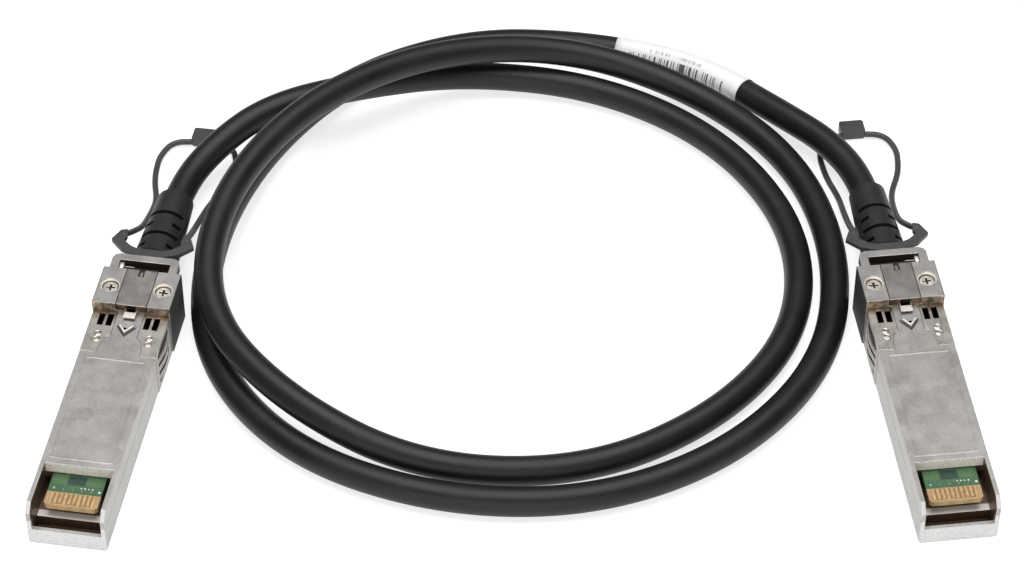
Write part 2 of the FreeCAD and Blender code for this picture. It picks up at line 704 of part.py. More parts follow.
def build_tab(name):
    """The moulded pull tab: tongue in the rear frame, winged strap over the relief, loop and grip."""
    low, high = tab_plate_low, tab_plate_low + tab_plate
    front = head_end - slide_lip * 2
    stand = frame_end + slide_gap * 2
    plate = box(f"{name}_tongue", (-tab_tongue_half, tab_tongue_half), (front, stand + riser_depth), (low, high))
    windows = []
    for side in (-1, 1):
        reach = sorted(((side * notch_width / 2), (side * tongue_half * 1.5)), key=lambda item: item.value)
        span = (head_end - slide_lip, head_end)
        windows.append(box(f"{name}_window", tuple(reach), span, (low, high)))
    tongue = difference(f"{name}_hooked", plate, union(f"{name}_windows", windows))
    rise = axis_height + boot_radius + strap_clear
    riser = box(f"{name}_riser", (-tab_tongue_half, tab_tongue_half), (stand, stand + riser_depth), (high, rise))
    # the flat strap over the strain relief, with a pointed wing at each side
    tip = stand + wing_sweep
    root = wing_tip - wing_root
    right = [
        (strap_half, stand),
        (wing_elbow, stand + wing_root / 2),
        (wing_tip, tip),
        (wing_tip - wing_root / 2, tip + wing_back),
        (root, tip + wing_back * 1.15),
        (root - wing_root / 8, tip + wing_back / 2),
        (root, tip),
        (root - wing_root * 0.65, tip - wing_back / 2),
        (strap_half, stand + strap_width),
    ]
    left = [(-x, y) for x, y in reversed(right)]
    strap = new_body(f"{name}_strap")
    plan = [(0.0, stand)] + right + [(0.0, stand + strap_width)] + left
    pad(strap, "XY_Plane", rise, rise + strap_sheet, [plan])
    # one round bar: from a wing down beside the strain relief, round the loop and back up
    rest = table_gap + arm_radius
    bend = boot_start + arm_first
    neck = boot_end + loop_start
    lean = left_loop_lean if name.startswith("left") else right_loop_lean
    path = [
        (root + wing_root / 4, tip + wing_back * 0.7, rise + strap_sheet / 2, 0.0),
        (boot_radius + arm_splay, bend, axis_height + arm_over, 0.0),
        (boot_radius + arm_clear, bend + arm_pitch, axis_height - arm_under / 4, 0.0),
        (boot_radius + arm_clear, bend + arm_pitch * 2, axis_height - arm_under, 0.1),
        (loop_neck, neck, rest, 0.4),
        (loop_shoulder, neck + loop_pitch, rest, 0.8),
        (loop_half, neck + loop_pitch * 2, rest, 1.0),
        (loop_heel, neck + loop_pitch * 2.75, rest, 1.0),
    ]
    heel = neck + loop_pitch * 2.75
    line = [(-x + lean * share, y, z) for x, y, z, share in path]
    line.append((0.0 + lean, heel + grip_length / 4, rest))
    line += [(x + lean * share, y, z) for x, y, z, share in reversed(path)]
    edges, _ = rounded_path([(x.value, y.value, z.value) for x, y, z in line])
    bar = hold(f"{name}_bar", swept(edges, arm_radius.value))
    knuckles = []
    for x, y, z in (line[0], line[-1]):
        ball = doc.addObject("Part::Sphere", f"{name}_knuckle")
        bind(ball, "Radius", knuckle_radius)
        for place, value in (("x", x), ("y", y), ("z", z)):
            bind(ball, f"Placement.Base.{place}", value)
        knuckles.append(ball)
    grip = box(
        f"{name}_grip",
        (lean - grip_half, lean + grip_half),
        (heel, heel + grip_length),
        (table_gap, table_gap + grip_height),
    )
    soft = doc.addObject("Part::Fillet", f"{name}_grip_soft")
    soft.Base = grip
    soft.Edges = [(number, grip_round.value, grip_round.value) for number in (1, 3, 5, 7)]
    grip.Visibility = False
    return union(name, [tongue, riser, strap, bar, soft] + knuckles)


def build_board(name):
    """The circuit board, with its front corners cut."""
    body = new_body(name)
    wide = board_width / 2
    cut = board_thickness / 2
    outline = [
        (-wide + cut, board_start),
        (wide - cut, board_start),
        (wide, board_start + cut),
        (wide, board_end),
        (-wide, board_end),
        (-wide, board_start + cut),
    ]
    pad(body, "XY_Plane", seam_height, board_top, [outline])
    return body


def build_contacts(name):
    """Ten plated contacts on each face; the late ones start farther back."""
    strips = []
    for index in range(10):
        middle = (index - 4.5) * contact_pitch
        late = contact_step if index % 3 else 0 * contact_step
        y = (board_start + contact_height * 3 + late, board_start + contact_height * 3 + contact_length)
        x = (middle - contact_width / 2, middle + contact_width / 2)
        strips.append(box(f"{name}_upper", x, y, (board_top, board_top + contact_height)))
        strips.append(box(f"{name}_lower", x, y, (seam_height - contact_height, seam_height)))
    return group(name, strips)


def build_components(name):
    """The memory chip and four capacitors on the board, under the cover."""
    start = mouth_depth + chip_side * 2
    parts = [
        box(
            f"{name}_chip",
            (-chip_side / 2, chip_side / 2),
            (start, start + chip_side),
            (board_top, board_top + chip_height),
        )
    ]
    for side in (-1, 1):
        for row in (0, 1):
            x = side * chip_side * 0.9
            y = start + chip_side * (2 + row)
            parts.append(
                box(
                    f"{name}_capacitor",
                    (x - chip_side / 10, x + chip_side / 10),
                    (y, y + chip_side / 3),
                    (board_top, board_top + chip_height / 2),
                )
            )
    return group(name, parts)


def build_wires(name):
    """Two pairs of inner wires, one pair soldered to each face of the board."""
    radius = wire_diameter / 2
    wires = []
    for side in (-1, 1):
        for z in (board_top + radius, seam_height - radius):
            wires.append(
                cylinder(
                    f"{name}_wire",
                    radius,
                    side * (wire_diameter + wire_gap) / 2,
                    board_end - wire_diameter * 5,
                    z,
                    flange_start - board_end + wire_diameter * 5,
                    "y",
                )
            )
    return group(name, wires)


def build_screws(name):
    """The two cover screws: pan heads with a cross recess."""
    screws = []
    for side in (-1, 1):
        x = side * screw_place
        head = cylinder(f"{name}_head", screw_head_radius, x, screw_y, bore_floor, screw_head_height)
        shank = cylinder(f"{name}_shank", screw_radius, x, screw_y, screw_end, bore_floor - screw_end)
        whole = union(f"{name}_blank", [head, shank])
        top = bore_floor + screw_head_height
        long, thin = screw_head_radius * 0.62, screw_head_radius * 0.14
        depth = (top - screw_head_height / 2, top)
        bars = [
            box(f"{name}_bar", (x - long, x + long), (screw_y - thin, screw_y + thin), depth),
            box(f"{name}_bar", (x - thin, x + thin), (screw_y - long, screw_y + long), depth),
        ]
        screws.append(difference(f"{name}_screw", whole, union(f"{name}_cross", bars)))
    return group(name, screws)


def build_ferrule(name):
    """The crimp ferrule round the end of the braid."""
    length = flange_start - ferrule_start
    outer = cylinder(f"{name}_outer", ferrule_radius, 0.0, ferrule_start, axis_height, length, "y")
    inner_radius = ferrule_radius - ferrule_wall
    inner = cylinder(f"{name}_inner", inner_radius, 0.0, ferrule_start, axis_height, length, "y")
    return difference(name, outer, inner)


def build_relief(name):
    """The strain relief, turned about the cable axis, with staggered flex slots."""
    body = new_body(name)
    core = cable_diameter / 2
    tip_round = boot_tip_radius / 6
    profile = [
        (0.0, flange_start),
        (flange_radius, flange_start),
        (flange_radius, flange_start + flange_length),
        (neck_radius, flange_start + flange_length),
        (neck_radius, boot_start),
        (boot_radius - tip_round, boot_start),
        (boot_radius, boot_start + tip_round),
        (boot_tip_radius, boot_end - tip_round),
        (boot_tip_radius - tip_round, boot_end),
        (core, boot_end),
        (core, boot_bore_start),
        (0.0, boot_bore_start),
    ]
    sketch = sketch_on(body, "XY_Plane", 0.0, [profile])
    turned = body.newObject("PartDesign::Revolution", f"{name}_turned")
    turned.Profile = sketch
    turned.ReferenceAxis = (origin_item(body, "Y_Axis"), [""])
    turned.Angle = 360
    checked(body, turned, 1)
    for number in range(4):
        start = slot_first + number * slot_pitch
        slope = (boot_radius - boot_tip_radius) / (boot_end - boot_start)
        inner = boot_radius - slope * (start - boot_start) - slot_depth
        outer = boot_radius + slot_width
        short = number % 2 == 0
        if not short:
            plane, sweep = "YZ_Plane", long_slot_angle
            outline = [
                (start, inner),
                (start + slot_width, inner),
                (start + slot_width, outer),
                (start, outer),
            ]
        else:
            plane, sweep = "XY_Plane", short_slot_angle
            outline = rectangle(inner, outer, start, start + slot_width)
        sketch = sketch_on(body, plane, 0.0, [outline])
        if short:
            # the four short slots of a row sit at the corners
            turn = FreeCAD.Rotation(FreeCAD.Vector(0, 1, 0), 45)
            sketch.AttachmentOffset = FreeCAD.Placement(FreeCAD.Vector(), turn)
        slot = body.newObject("PartDesign::Groove", f"{name}_slot")
        slot.Profile = sketch
        slot.ReferenceAxis = (origin_item(body, "Y_Axis"), [""])
        slot.Midplane = True
        bind(slot, "Angle", sweep)
        checked(body, slot, -1)
        pair = body.newObject("PartDesign::PolarPattern", f"{name}_pair")
        pair.Originals = [slot]
        pair.Axis = (origin_item(body, "Y_Axis"), [""])
        pair.Angle = 360
        pair.Occurrences = 4 if short else 2
        checked(body, pair, -1)
    return body


PIECES = {
    "bottom_shell": build_bottom_shell,
    "top_shell": build_top_shell,
    "emi_collar": build_collar,
    "release_slide": build_slide,
    "pull_tab": build_tab,
    "circuit_board": build_board,
    "edge_contacts": build_contacts,
    "board_components": build_components,
    "twinax_pairs": build_wires,
    "cover_screws": build_screws,
    "crimp_ferrule": build_ferrule,
    "strain_relief": build_relief,
}

# Where each plug lies: its nose, and its turn about Z
PLUGS = {
    "left": ((-74.3, -51.7), 8.9),
    "right": ((74.2, -50.2), -6.7),
}

nodes = []
for side, (nose, turn) in PLUGS.items():
    spin = FreeCAD.Rotation(FreeCAD.Vector(0, 0, 1), -turn)
    place = FreeCAD.Placement(FreeCAD.Vector(nose[0], nose[1], 0), spin)
    for piece, build in PIECES.items():
        node = build(f"{side}_{piece}")
        lift = FreeCAD.Vector(0, 0, axis_height.value if piece == "strain_relief" else 0.0)
        node.Placement = place.multiply(FreeCAD.Placement(lift, FreeCAD.Rotation()))
        node.Label = f"{side}_{piece}"
        nodes.append(node)
doc.recompute()

# ---------------------------------------------------------------- cable

# Route of the cable axis, from inside the left strain relief to inside the right one
ROUTE = [
    (-62.9, 21.4, 4.8),
    (-61.2, 31.8, 4.8),
    (-55.8, 41.1, 6.3),
    (-46.4, 48.7, 9.2),
    (-32.4, 55.2, 8.8),
    (-9.3, 65.8, 3.8),
    (17.2, 62.4, 2.8),
    (39.2, 46.8, 2.8),
    (51.7, 22.8, 2.8),
    (50.6, -3.0, 2.8),
    (36.0, -24.0, 2.8),
    (12.2, -37.7, 2.8),
    (-16.1, -37.0, 3.2),
    (-39.4, -24.9, 7.5),
    (-54.5, -5.2, 9.4),
    (-53.4, 20.3, 12.3),
    (-39.3, 43.8, 14.5),
    (-16.8, 61.3, 12.5),
    (9.2, 68.3, 8.2),
    (33.7, 61.3, 3.8),
    (52.2, 42.3, 2.8),
    (58.8, 16.3, 2.8),
    (55.2, -10.7, 2.8),
    (38.7, -32.2, 2.8),
    (14.7, -44.2, 2.8),
    (-12.3, -44.2, 2.8),
    (-37.8, -33.2, 2.8),
    (-53.3, -12.2, 2.8),
    (-56.1, 13.8, 2.8),
    (-48.8, 40.8, 2.8),
    (-32.5, 64.5, 2.8),
    (-9.8, 76.0, 2.8),
    (12.7, 75.6, 2.8),
    (35.2, 68.8, 3.0),
    (50.4, 52.6, 4.8),
    (59.0, 43.7, 5.2),
    (64.3, 33.7, 4.8),
    (65.6, 23.3, 4.8),
]
LABEL_CORNER = 33

cable_edges, cable_radii = rounded_path(ROUTE)
cable = hold("cable", swept(cable_edges, cable_diameter.value / 2))
nodes.append(cable)
print("cable bend radii, mm:", [round(radius, 1) for radius in cable_radii])
print("cable length, mm:", round(Part.Wire(cable_edges).Length, 1))

# The label wraps the straight, arc and straight about one corner of the route
first = 2 * LABEL_CORNER - 2
label_edges = cable_edges[first : first + 3]
sleeve = swept(label_edges, cable_diameter.value / 2 + label_sheet.value)
label = difference("cable_label", hold("label_sleeve", sleeve), hold("label_core", cable.Shape))
nodes.append(label)
doc.recompute()

# ---------------------------------------------------------------- checks and export

for item in doc.Objects:
    if "Invalid" in item.State or "Error" in item.State:
        raise ValueError(f"{item.Name} did not compute")
    if item.TypeId == "Part::MultiFuse" and item.Shape.Volume < max(part.Shape.Volume for part in item.Shapes):
        raise ValueError(f"{item.Name} lost a part")

os.makedirs("parts", exist_ok=True)
for node in nodes:
    shape = node.Shape
    if shape.isNull() or not shape.isValid():
        raise ValueError(f"{node.Label} has no valid shape")
    shape.exportStep(f"parts/{node.Label}.step")
    print(node.Label, len(shape.Solids), "solids,", round(shape.Volume, 2), "mm3")
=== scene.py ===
"""Direct attach copper cable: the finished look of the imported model, in metres.

Each plug has its own frame: Y runs from the nose to the cable, X across, Z up from the underside.
"""

import math
import random

import bmesh
import bpy
from mathutils import Matrix, Vector


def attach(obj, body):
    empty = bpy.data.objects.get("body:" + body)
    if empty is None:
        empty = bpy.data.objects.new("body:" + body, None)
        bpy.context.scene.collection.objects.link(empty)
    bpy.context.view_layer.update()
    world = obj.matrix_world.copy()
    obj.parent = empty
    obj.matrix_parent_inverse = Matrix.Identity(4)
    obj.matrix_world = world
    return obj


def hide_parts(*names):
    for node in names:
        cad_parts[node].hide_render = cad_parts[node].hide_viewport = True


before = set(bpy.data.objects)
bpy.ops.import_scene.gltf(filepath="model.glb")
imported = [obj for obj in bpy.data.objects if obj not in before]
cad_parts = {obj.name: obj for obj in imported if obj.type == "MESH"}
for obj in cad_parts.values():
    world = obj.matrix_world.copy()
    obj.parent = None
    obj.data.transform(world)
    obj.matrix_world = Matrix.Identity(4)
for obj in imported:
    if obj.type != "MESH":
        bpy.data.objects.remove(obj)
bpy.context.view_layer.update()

MM = 0.001
ASSEMBLY = "cable_assembly"

# Where each plug lies: its nose in millimetres, and its turn about Z in degrees
PLUGS = {
    "left": ((-74.3, -51.7), 8.9),
    "right": ((74.2, -50.2), -6.7),
}
PLACE = {}
for side, (nose, turn) in PLUGS.items():
    spot = Matrix.Translation((nose[0] * MM, nose[1] * MM, 0))
    PLACE[side] = spot @ Matrix.Rotation(-math.radians(turn), 4, "Z")

# Places on a plug, in millimetres of its own frame
MOUTH_INSIDE = 5.9
MOUTH_WALL = 5.97
STEP_TOP = 3.22
BOARD_TOP = 6.25
CLIP_ACROSS = 4.6
CLIP_ALONG = (40.3, 41.7)
HEAD_FRONT = 47.4
HEAD_FLANK = 6.9
SCREW_ACROSS = 4.75
SCREW_ALONG = 52


# ---------------------------------------------------------------- camera

lens = bpy.data.cameras.new("studio_camera")
lens.lens = 116.9
lens.sensor_width = 36
lens.clip_start = 0.01
lens.clip_end = 20
camera = bpy.data.objects.new("studio_camera", lens)
camera.location = (-0.0003, -0.4203, 0.4168)
aim = Vector((-0.0003, 0.0113, 0.0)) - Vector(camera.location)
camera.rotation_euler = aim.to_track_quat("-Z", "Y").to_euler()
bpy.context.scene.collection.objects.link(camera)
bpy.context.scene.camera = camera


# ---------------------------------------------------------------- cable

CABLE_DIAMETER = 5.2 * MM
ROUTE = [
    (-62.9, 21.4, 4.8),
    (-61.2, 31.8, 4.8),
    (-55.8, 41.1, 6.3),
    (-46.4, 48.7, 9.2),
    (-32.4, 55.2, 8.8),
    (-9.3, 65.8, 3.8),
    (17.2, 62.4, 2.8),
    (39.2, 46.8, 2.8),
    (51.7, 22.8, 2.8),
    (50.6, -3.0, 2.8),
    (36.0, -24.0, 2.8),
    (12.2, -37.7, 2.8),
    (-16.1, -37.0, 3.2),
    (-39.4, -24.9, 7.5),
    (-54.5, -5.2, 9.4),
    (-53.4, 20.3, 12.3),
    (-39.3, 43.8, 14.5),
    (-16.8, 61.3, 12.5),
    (9.2, 68.3, 8.2),
    (33.7, 61.3, 3.8),
    (52.2, 42.3, 2.8),
    (58.8, 16.3, 2.8),
    (55.2, -10.7, 2.8),
    (38.7, -32.2, 2.8),
    (14.7, -44.2, 2.8),
    (-12.3, -44.2, 2.8),
    (-37.8, -33.2, 2.8),
    (-53.3, -12.2, 2.8),
    (-56.1, 13.8, 2.8),
    (-48.8, 40.8, 2.8),
    (-32.5, 64.5, 2.8),
    (-9.8, 76.0, 2.8),
    (12.7, 75.6, 2.8),
    (35.2, 68.8, 3.0),
    (50.4, 52.6, 4.8),
    (59.0, 43.7, 5.2),
    (64.3, 33.7, 4.8),
    (65.6, 23.3, 4.8),
]

line = bpy.data.curves.new("jacketed_cable", "CURVE")
line.dimensions = "3D"
line.resolution_u = 14
spline = line.splines.new("NURBS")
spline.points.add(len(ROUTE) - 1)
for point, spot in zip(spline.points, ROUTE):
    point.co = (spot[0] * MM, spot[1] * MM, spot[2] * MM, 1)
spline.order_u = 3
spline.use_endpoint_u = True
guide = bpy.data.objects.new("cable_guide", line)
bpy.context.scene.collection.objects.link(guide)
bpy.context.view_layer.update()
centreline = [Vector(v.co) for v in bpy.data.meshes.new_from_object(guide).vertices]
bpy.data.objects.remove(guide)


# ---------------------------------------------------------------- shader sums


class Value:
    """A shader socket that takes part in ordinary sums."""

    def __init__(self, finish, socket):
        self.finish = finish
        self.socket = socket

    def _sum(self, operation, first, second):
        return self.finish.node("ShaderNodeMath", {"operation": operation}, {0: first, 1: second})

    def __add__(self, other):
        return self._sum("ADD", self, other)

    def __radd__(self, other):
        return self._sum("ADD", other, self)

    def __sub__(self, other):
        return self._sum("SUBTRACT", self, other)

    def __rsub__(self, other):
        return self._sum("SUBTRACT", other, self)

    def __mul__(self, other):
        return self._sum("MULTIPLY", self, other)

    def __rmul__(self, other):
        return self._sum("MULTIPLY", other, self)

    def __gt__(self, other):
        return self._sum("GREATER_THAN", self, other)

    def __lt__(self, other):
        return self._sum("LESS_THAN", self, other)

    def __abs__(self):
        return self.finish.node("ShaderNodeMath", {"operation": "ABSOLUTE"}, {0: self})


class Finish:
    """One material, its surface shader and the nodes that vary it."""

    def __init__(self, name, **steady):
        self.material = bpy.data.materials.new(name)
        self.material.use_nodes = True
        self.tree = self.material.node_tree
        self.tree.nodes.clear()
        self.surface = self.tree.nodes.new("ShaderNodeBsdfPrincipled")
        output = self.tree.nodes.new("ShaderNodeOutputMaterial")
        self.tree.links.new(self.surface.outputs[0], output.inputs["Surface"])
        for socket, number in steady.items():
            self.surface.inputs[socket.replace("_", " ")].default_value = number

    def node(self, kind, settings, sockets, out=0):
        """Any node: its settings first, then the values or links of its sockets."""
        node = self.tree.nodes.new(kind)
        for name, value in settings.items():
            setattr(node, name, value)
        for name, value in sockets.items():
            if isinstance(value, Value):
                self.tree.links.new(value.socket, node.inputs[name])
            else:
                node.inputs[name].default_value = value
        return Value(self, node.outputs[out])

    def feed(self, **links):
        """Links what varies to the surface shader."""
        for name, value in links.items():
            self.tree.links.new(value.socket, self.surface.inputs[name.replace("_", " ")])

    def place(self, kind="Object", stretch=(1, 1, 1)):
        """Coordinates, in metres for Object."""
        spot = self.node("ShaderNodeTexCoord", {}, {}, kind)
        return self.node("ShaderNodeMapping", {}, {"Vector": spot, "Scale": stretch})

    def plug_axes(self, side):
        """Millimetres across, along and up in a plug's own frame."""
        nose, turn = PLUGS[side]
        sockets = {
            "Vector": self.node("ShaderNodeTexCoord", {}, {}, "Object"),
            "Location": (nose[0] * MM, nose[1] * MM, 0),
            "Rotation": (0, 0, -math.radians(turn)),
            "Scale": (MM, MM, MM),
        }
        own = self.node("ShaderNodeMapping", {"vector_type": "TEXTURE"}, sockets)
        return [self.node("ShaderNodeSeparateXYZ", {}, {"Vector": own}, axis) for axis in "XYZ"]

    def grain(self, scale, detail=3.0, stretch=(1, 1, 1), kind="Object", rough=0.55):
        """Noise from 0 to 1; the scale is in grains per metre."""
        spot = self.place(kind, stretch)
        sockets = {"Vector": spot, "Scale": scale, "Detail": detail, "Roughness": rough}
        return self.node("ShaderNodeTexNoise", {}, sockets)

    def span(self, value, low, high, to_low=0.0, to_high=1.0):
        """The value's range mapped to another, with its ends held."""
        sockets = {"Value": value, "From Min": low, "From Max": high, "To Min": to_low, "To Max": to_high}
        return self.node("ShaderNodeMapRange", {"clamp": True}, sockets)

    def blend(self, mask, first, second):
        """A colour between two colours."""
        settings = {"data_type": "RGBA"}
        sockets = {0: mask, 6: first, 7: second}
        return self.node("ShaderNodeMix", settings, sockets, 2)

    def worn(self, radius):
        """Rounded normal, and a mask that is 1 on edges."""
        rounded = self.node("ShaderNodeBevel", {"samples": 6}, {"Radius": radius})
        flat = self.node("ShaderNodeNewGeometry", {}, {}, "Normal")
        sockets = {0: rounded, 1: flat}
        agree = self.node("ShaderNodeVectorMath", {"operation": "DOT_PRODUCT"}, sockets, "Value")
        return rounded, self.span(agree, 0.99, 0.86)

    def bump(self, height, strength, distance, normal=None):
        """A bump that feeds the normal."""
        sockets = {"Height": height, "Strength": strength, "Distance": distance}
        if normal is not None:
            sockets["Normal"] = normal
        self.feed(Normal=self.node("ShaderNodeBump", {}, sockets))


def grey(level, warm=0.0):
    """A grey, a little warm or cool."""
    return (level * (1 + warm), level, level * (1 - warm), 1)


def within(value, low, high):
    """A mask that is 1 between two limits."""
    return (value > low) * (value < high)


# ---------------------------------------------------------------- finishes


def cast_metal(name, dark, light, edge, rough, zones=None, side=None):
    """Nickel-plated die casting: fine sandy skin, cloudy tone, bright worn edges, and its own zones of
    painted light and shade.
    """
    f = Finish(name, Metallic=0.62)
    rounded, edges = f.worn(0.12 * MM)
    skin = f.grain(3800, 4)
    cloud = f.grain(260, 5, rough=0.65)
    stain = f.grain(70, 3)
    tone = f.span(cloud * 0.5 + skin * 0.38 + stain * 0.12, 0.38, 0.62)
    colour = f.blend(tone, dark, light)
    colour = f.blend(edges * f.span(cloud, 0.3, 0.6, 0.55, 1.0), colour, edge)
    roughness = f.span(skin * 0.6 + cloud * 0.4, 0.35, 0.65, rough - 0.06, rough + 0.08) - edges * 0.16
    if zones:
        # The zones give back the colour with painted light and shade, and the mask of painted shade on
        # the flanks, which also raises roughness
        colour, dull = zones(f, side, colour, skin)
        roughness = roughness + dull * 0.4
    f.feed(Base_Color=colour, Roughness=roughness)
    f.bump(skin * 0.6 + f.grain(9000, 2) * 0.4, 0.4, 0.03 * MM, rounded)
    return f.material


# Brown of painted shade and painted reflection inside the mouth, under the cover and in the rear slot
PAINTED_SHADE_BROWN = (0.13, 0.085, 0.055, 1)
# Cream of painted light on front faces, the step, the tongue's top and the latch V
PAINTED_LIGHT_CREAM = (0.95, 0.90, 0.84, 1)
# Black of painted shade in the wells, the V's pit, the slots and round the V
PAINTED_SHADE_BLACK = (0.006, 0.004, 0.003, 1)
BAR_COLUMNS = 150


def tub_zones(f, side, colour, skin):
    """Painted brown shade in the channel, on the inner walls round the card mouth and under the board;
    painted light on the step and the front lip; painted shade on the head's flanks.
    """
    across, along, up = f.plug_axes(side)
    across = abs(across)
    inside = (across < MOUTH_WALL) * within(along, 0.79, 40) * (up > 1.0)
    # Painted brown shade: the inner walls, the channel below the step and the area under the board
    walls = inside * (across > MOUTH_INSIDE)
    channel = inside * (up < STEP_TOP)
    under_board_shade = inside * f.span(along, 4.45, 4.7)
    # Painted light on the step under the board
    step = inside * (up > STEP_TOP) * (across < MOUTH_INSIDE) * (along < 6.6)
    # Painted shade on the head's flanks
    shaded_flank = (across > HEAD_FLANK) * (along > HEAD_FRONT)
    # Painted light on the lip's front face
    front = (along < 0.02) * (up > 0.1)
    bright = f.blend(f.span(skin, 0.36, 0.5), (0.90, 0.84, 0.77, 1), PAINTED_LIGHT_CREAM)
    colour = f.blend(step, colour, bright)
    colour = f.blend(front * 0.8, colour, f.blend(f.span(skin, 0.36, 0.6), grey(0.58), grey(0.76)))
    colour = f.blend(shaded_flank * 0.9, colour, grey(0.018))
    # Where light is painted, the metal is made less metallic
    f.feed(Metallic=f.span(step + front, 0, 1, 0.62, 0.1))
    return f.blend(f.span(walls + channel + under_board_shade, 0, 1), colour, PAINTED_SHADE_BROWN), shaded_flank


def cover_zones(f, side, colour, skin):
    """Painted brown shade on the mouth walls, under the cover and in the rear slot; painted light and
    speckle on the front edge; painted light on the front chamfers and the latch V; a painted brown
    reflection on the shoulder; painted highlights in the screw bores; painted black shade in the wells,
    the V's pit, the slot and round the V; painted shade on the head's flanks.
    """
    across, along, up = f.plug_axes(side)
    across = abs(across)
    # Painted brown shade on the mouth's inner walls
    walls = within(across, MOUTH_INSIDE, MOUTH_WALL) * (along < 10.39) * (up < 8.45)
    # Painted light on the cover's front face above the board
    edge = (across < MOUTH_INSIDE) * within(along, 10.38, 10.43) * within(up, 6.45, 8.46)
    # Painted shade under the cover behind the mouth
    behind = (along > 10.45) * (up < 7.75) + (along > 10.38) * (up < 6.45)
    hollow = (across < MOUTH_INSIDE) * (along < 41) * behind
    # Painted shade in the rear slot
    slot = (across < 4.57) * within(along, 56.6, 58.67) * (up < 10.22)
    # Painted black shade in the wells and in the V's pit
    wells = within(across, 2.7, 5.5) * within(along, 43.7, 46.9) * (up < 8.24)
    pit = (across < 1.5) * within(along, 41.8, 45.2) * (up < 8.45)
    # Painted highlight on the top of the latch V
    vee_highlight = (across < 1.45) * within(along, 41.8, 43.85) * (up > 9.05)
    # Painted shade on the head's flanks
    shaded_flank = (across > HEAD_FLANK) * (along > HEAD_FRONT)
    # Painted brown reflection on the shoulder
    shoulder = within(along, HEAD_FRONT, 47.54) * (up > 8.5) * (across < HEAD_FLANK)
    # Painted light on the front chamfers beside the mouth
    chamfer_light = (along < 1.48) * (up < 8.49) * (across > 5.96) * (along - up < -6.9)
    left_right = across - SCREW_ACROSS
    fore_aft = along - SCREW_ALONG
    # Painted highlight in the screw bores
    bore_highlight = (left_right * left_right + fore_aft * fore_aft < 3.2) * within(up, 8.85, 10.28)
    slant = along - across * 1.357
    # Painted shadow round the latch V
    vee_shadow = (across < 1.75) * within(slant, 41.35, 41.92) * within(up, 8.45, 8.55)
    cloud = f.grain(900, 4, rough=0.6)
    # Colours of painted light and of painted brown reflection
    bright = f.blend(f.span(skin, 0.36, 0.56), (0.74, 0.67, 0.60, 1), PAINTED_LIGHT_CREAM)
    brown_reflection = f.blend(f.span(cloud, 0.40, 0.58), (0.14, 0.09, 0.055, 1), (0.52, 0.43, 0.32, 1))
    colour = f.blend(f.span(edge + vee_highlight, 0, 1), colour, bright)
    colour = f.blend(bore_highlight, colour, (0.85, 0.79, 0.70, 1))
    f.feed(Metallic=f.span(edge + chamfer_light, 0, 1, 0.62, 0.1))
    colour = f.blend(shoulder * 0.9, colour, brown_reflection)
    colour = f.blend(shaded_flank * 0.9, colour, grey(0.018))
    colour = f.blend(chamfer_light * 0.8, colour, grey(0.72))
    colour = f.blend(f.span(walls + hollow + slot, 0, 1), colour, PAINTED_SHADE_BROWN)
    return f.blend(f.span(wells + pit + slot * 0.6 + vee_shadow * 0.75, 0, 1), colour, PAINTED_SHADE_BLACK), shaded_flank


def plated_sheet(name, tone, rough, direction=(1, 1, 1), zones=None, side=None, relief=0.22):
    """Bright plated spring sheet: faint rolling lines, smudges, bright rims, and its own zones of painted
    light and shade.
    """
    f = Finish(name, Metallic=1.0)
    rounded, edges = f.worn(0.09 * MM)
    rolling = f.grain(5200, 3, direction)
    smudge = f.grain(330, 4, rough=0.6)
    lighter = (tone[0] * 1.2, tone[1] * 1.2, tone[2] * 1.2, 1)
    colour = f.blend(f.span(smudge, 0.35, 0.65), tone, lighter)
    colour = f.blend(edges, colour, grey(0.95, 0.02))
    if zones:
        colour = zones(f, side, colour, smudge)
    f.feed(
        Base_Color=colour,
        Roughness=f.span(rolling * 0.5 + smudge * 0.5, 0.35, 0.65, rough - 0.05, rough + 0.09),
    )
    f.bump(rolling, relief, 0.012 * MM, rounded)
    return f.material


def collar_zones(f, side, colour, smudge):
    """Painted brown reflection on the sheet between the windows and the head, and painted shade on its
    sides.
    """
    across, along, up = f.plug_axes(side)
    across = abs(across)
    # Painted brown reflection between the windows and the head
    brown_reflection_band = f.span(along, 44.5, 46.8) * (up > 8.2)
    # Painted shade on the sides
    shaded_flank = (across > 6.55) * (up < 8.2)
    # Brown of the painted reflection
    warm = f.blend(f.span(smudge, 0.42, 0.58), (0.20, 0.14, 0.085, 1), (0.48, 0.39, 0.29, 1))
    colour = f.blend(brown_reflection_band * 0.8, colour, warm)
    return f.blend(shaded_flank * 0.6, colour, grey(0.05))


def slide_zones(f, side, colour, smudge):
    """Painted brown reflection on the front wall, painted black shade for a slot over the tongue, and
    painted light on the tongue's top.
    """
    across, along, up = f.plug_axes(side)
    across = abs(across)
    # Painted brown reflection on the front wall
    front = within(along, 47.3, 47.6) * (up < 10.2)
    # Painted black shade for a slot over the tongue
    slot = (across < 0.85) * within(along, 46.9, 47.55) * within(up, 9.0, 10.1)
    # Painted light on the tongue's top
    tongue = (along < 47.45) * (up > 8.9)
    # Brown of the painted reflection
    warm = f.blend(f.span(smudge, 0.42, 0.58), (0.14, 0.085, 0.05, 1), (0.34, 0.25, 0.17, 1))
    colour = f.blend(front * 0.9, colour, warm)
    colour = f.blend(tongue, colour, PAINTED_LIGHT_CREAM)
    return f.blend(slot, colour, PAINTED_SHADE_BLACK)


def screw_zones(f, side, colour, smudge):
    """Painted shade in each screw head's recess."""
    up = f.plug_axes(side)[2]
    # Painted shade below the top of the screw head
    return f.blend(up < 9.7, colour, (0.14, 0.11, 0.085, 1))


